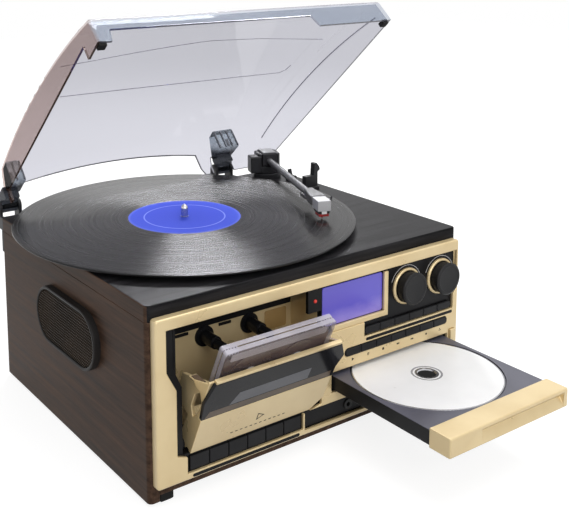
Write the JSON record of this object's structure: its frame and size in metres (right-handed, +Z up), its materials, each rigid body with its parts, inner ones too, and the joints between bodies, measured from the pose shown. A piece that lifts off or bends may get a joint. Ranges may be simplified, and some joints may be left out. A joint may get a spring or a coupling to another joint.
{
  "type": "record player",
  "caption": "Tabletop record player in a black wood cabinet with a gold front: cassette bay, disc drawer, radio controls, side speakers, tonearm and hinged clear dust cover.",
  "frame": {"origin": "on the shelf, below the centre of the cabinet's footprint between its feet", "axes": "+Z up, +Y to the back, front face towards -Y, +X to the right as seen from the front"},
  "size_m": [0.3414, 0.4295, 0.3412],
  "materials": {
    "black_veneer": "satin",
    "gold_plastic": "satin",
    "black_plastic": "matt",
    "grey_plastic": "satin",
    "clear_cover": "clear, smoke tint",
    "smoke_window": "clear, dark tint",
    "vinyl": "grooved gloss",
    "disc_face": "gloss",
    "cassette_shell": "clear",
    "metal": "plated",
    "platter_metal": "coated",
    "rubber": "matt",
    "display": "gloss",
    "board": "matt",
    "driver": "matt"
  },
  "bodies": {
    "cabinet": {"side_panels": "black_veneer", "top_deck": "black_veneer", "bottom_board": "black_veneer", "back_panel": "black_veneer", "rubber_feet": "rubber", "speaker_grilles": "black_plastic", "speaker_drivers": "driver", "front_bezel": "gold_plastic", "control_panel": "black_plastic", "display_window": "display", "front_trim": "gold_plastic", "cassette_well": "black_plastic", "electronics": "board", "sockets": "black_plastic", "disc_drive": "black_plastic", "turntable_motor": "metal", "drive_belt": "rubber", "tonearm_base": "black_plastic", "hinge_brackets": "black_plastic"},
    "cover": {"dust_cover": "clear_cover", "hinge_sockets": "clear_cover", "lid_bumpers": "rubber"},
    "turntable": {"platter": "platter_metal", "record_spindle": "metal", "record": "vinyl"},
    "pulley": {"motor_pulley": "metal"},
    "arm_swivel": {"arm_yoke": "black_plastic"},
    "arm": {"tonearm": "grey_plastic", "cartridge": "grey_plastic"},
    "cue": {"cue_lever": "black_plastic"},
    "drawer": {"disc_tray": "grey_plastic", "tray_front": "gold_plastic", "compact_disc": "disc_face"},
    "door": {"cassette_door": "gold_plastic", "door_window": "smoke_window", "cassette": "cassette_shell"},
    "reel_left": {"reel_spindle_left": "black_plastic"},
    "reel_right": {"reel_spindle_right": "black_plastic"},
    "volume": {"volume_knob": "black_plastic"},
    "tuning": {"tuning_knob": "black_plastic"},
    "power": {"power_button": "gold_plastic"},
    "tape_key_1_body": {"tape_key_1": "black_plastic"},
    "tape_key_2_body": {"tape_key_2": "black_plastic"},
    "tape_key_3_body": {"tape_key_3": "black_plastic"},
    "tape_key_4_body": {"tape_key_4": "black_plastic"},
    "tape_key_5_body": {"tape_key_5": "black_plastic"},
    "tape_key_6_body": {"tape_key_6": "black_plastic"},
    "upper_button_1_body": {"upper_button_1": "black_plastic"},
    "upper_button_2_body": {"upper_button_2": "black_plastic"},
    "upper_button_3_body": {"upper_button_3": "black_plastic"},
    "upper_button_4_body": {"upper_button_4": "black_plastic"},
    "upper_button_5_body": {"upper_button_5": "black_plastic"},
    "upper_button_6_body": {"upper_button_6": "black_plastic"},
    "lower_button_1_body": {"lower_button_1": "black_plastic"},
    "lower_button_2_body": {"lower_button_2": "black_plastic"},
    "lower_button_3_body": {"lower_button_3": "black_plastic"},
    "lower_button_4_body": {"lower_button_4": "black_plastic"},
    "lower_button_5_body": {"lower_button_5": "black_plastic"},
    "lower_button_6_body": {"lower_button_6": "black_plastic"},
    "lower_button_7_body": {"lower_button_7": "black_plastic"}
  },
  "joints": [
    {"name": "cover_hinge", "type": "hinge", "parent": "cabinet", "child": "cover", "pos_m": [0, 0.141, 0.157], "axis": [1, 0, 0], "range_deg": [0, 42.1]},
    {"name": "platter_spin", "type": "hinge", "parent": "cabinet", "child": "turntable", "pos_m": [-0.0286, 0.0207, 0.15], "axis": [0, 0, -1], "continuous": true},
    {"name": "pulley_spin", "type": "hinge", "parent": "cabinet", "child": "pulley", "pos_m": [0.01807, -0.02597, 0.145], "axis": [0, 0, -1], "continuous": true},
    {"name": "arm_swing", "type": "hinge", "parent": "cabinet", "child": "arm_swivel", "pos_m": [0.13, 0.107, 0.16], "axis": [0, 0, -1], "range_deg": [-21.5, 21]},
    {"name": "arm_lift", "type": "hinge", "parent": "arm_swivel", "child": "arm", "pos_m": [0.13, 0.107, 0.169], "axis": [-0.9298, 0.3681, 0], "range_deg": [0, 1.9]},
    {"name": "cue_tilt", "type": "hinge", "parent": "cabinet", "child": "cue", "pos_m": [0.141, 0.08, 0.153], "axis": [1, 0, 0], "range_deg": [0, 40]},
    {"name": "drawer_slide", "type": "slide", "parent": "cabinet", "child": "drawer", "axis": [0, 1, 0], "range_m": [0, 0.12]},
    {"name": "door_hinge", "type": "hinge", "parent": "cabinet", "child": "door", "pos_m": [-0.066, -0.125, 0.039], "axis": [-1, 0, 0], "range_deg": [0, 24.8]},
    {"name": "reel_left_spin", "type": "hinge", "parent": "cabinet", "child": "reel_left", "pos_m": [-0.08725, -0.12, 0.1009], "axis": [0, -1, 0], "continuous": true},
    {"name": "reel_right_spin", "type": "hinge", "parent": "cabinet", "child": "reel_right", "pos_m": [-0.04475, -0.12, 0.1009], "axis": [0, -1, 0], "continuous": true},
    {"name": "volume_turn", "type": "hinge", "parent": "cabinet", "child": "volume", "pos_m": [0.092, -0.14, 0.112], "axis": [0, 1, 0], "range_deg": [-150, 150]},
    {"name": "tuning_turn", "type": "hinge", "parent": "cabinet", "child": "tuning", "pos_m": [0.132, -0.14, 0.112], "axis": [0, 1, 0], "continuous": true},
    {"name": "power_press", "type": "slide", "parent": "cabinet", "child": "power", "axis": [0, 1, 0], "range_m": [0, 0.0015], "stiffness_N_per_m": 400},
    {"name": "tape_key_1_press", "type": "slide", "parent": "cabinet", "child": "tape_key_1_body", "axis": [0, 1, 0], "range_m": [0, 0.004], "stiffness_N_per_m": 300},
    {"name": "tape_key_2_press", "type": "slide", "parent": "cabinet", "child": "tape_key_2_body", "axis": [0, 1, 0], "range_m": [0, 0.004], "stiffness_N_per_m": 300},
    {"name": "tape_key_3_press", "type": "slide", "parent": "cabinet", "child": "tape_key_3_body", "axis": [0, 1, 0], "range_m": [0, 0.004], "stiffness_N_per_m": 300},
    {"name": "tape_key_4_press", "type": "slide", "parent": "cabinet", "child": "tape_key_4_body", "axis": [0, 1, 0], "range_m": [0, 0.004], "stiffness_N_per_m": 300},
    {"name": "tape_key_5_press", "type": "slide", "parent": "cabinet", "child": "tape_key_5_body", "axis": [0, 1, 0], "range_m": [0, 0.004], "stiffness_N_per_m": 300},
    {"name": "tape_key_6_press", "type": "slide", "parent": "cabinet", "child": "tape_key_6_body", "axis": [0, 1, 0], "range_m": [0, 0.004], "stiffness_N_per_m": 300},
    {"name": "upper_button_1_press", "type": "slide", "parent": "cabinet", "child": "upper_button_1_body", "axis": [0, 1, 0], "range_m": [0, 0.0015], "stiffness_N_per_m": 300},
    {"name": "upper_button_2_press", "type": "slide", "parent": "cabinet", "child": "upper_button_2_body", "axis": [0, 1, 0], "range_m": [0, 0.0015], "stiffness_N_per_m": 300},
    {"name": "upper_button_3_press", "type": "slide", "parent": "cabinet", "child": "upper_button_3_body", "axis": [0, 1, 0], "range_m": [0, 0.0015], "stiffness_N_per_m": 300},
    {"name": "upper_button_4_press", "type": "slide", "parent": "cabinet", "child": "upper_button_4_body", "axis": [0, 1, 0], "range_m": [0, 0.0015], "stiffness_N_per_m": 300},
    {"name": "upper_button_5_press", "type": "slide", "parent": "cabinet", "child": "upper_button_5_body", "axis": [0, 1, 0], "range_m": [0, 0.0015], "stiffness_N_per_m": 300},
    {"name": "upper_button_6_press", "type": "slide", "parent": "cabinet", "child": "upper_button_6_body", "axis": [0, 1, 0], "range_m": [0, 0.0015], "stiffness_N_per_m": 300},
    {"name": "lower_button_1_press", "type": "slide", "parent": "cabinet", "child": "lower_button_1_body", "axis": [0, 1, 0], "range_m": [0, 0.0015], "stiffness_N_per_m": 300},
    {"name": "lower_button_2_press", "type": "slide", "parent": "cabinet", "child": "lower_button_2_body", "axis": [0, 1, 0], "range_m": [0, 0.0015], "stiffness_N_per_m": 300},
    {"name": "lower_button_3_press", "type": "slide", "parent": "cabinet", "child": "lower_button_3_body", "axis": [0, 1, 0], "range_m": [0, 0.0015], "stiffness_N_per_m": 300},
    {"name": "lower_button_4_press", "type": "slide", "parent": "cabinet", "child": "lower_button_4_body", "axis": [0, 1, 0], "range_m": [0, 0.0015], "stiffness_N_per_m": 300},
    {"name": "lower_button_5_press", "type": "slide", "parent": "cabinet", "child": "lower_button_5_body", "axis": [0, 1, 0], "range_m": [0, 0.0015], "stiffness_N_per_m": 300},
    {"name": "lower_button_6_press", "type": "slide", "parent": "cabinet", "child": "lower_button_6_body", "axis": [0, 1, 0], "range_m": [0, 0.0015], "stiffness_N_per_m": 300},
    {"name": "lower_button_7_press", "type": "slide", "parent": "cabinet", "child": "lower_button_7_body", "axis": [0, 1, 0], "range_m": [0, 0.0015], "stiffness_N_per_m": 300}
  ],
  "couplings": [
    {"joint": "pulley_spin", "follows": "platter_spin", "ratio": 9.1667}
  ]
}
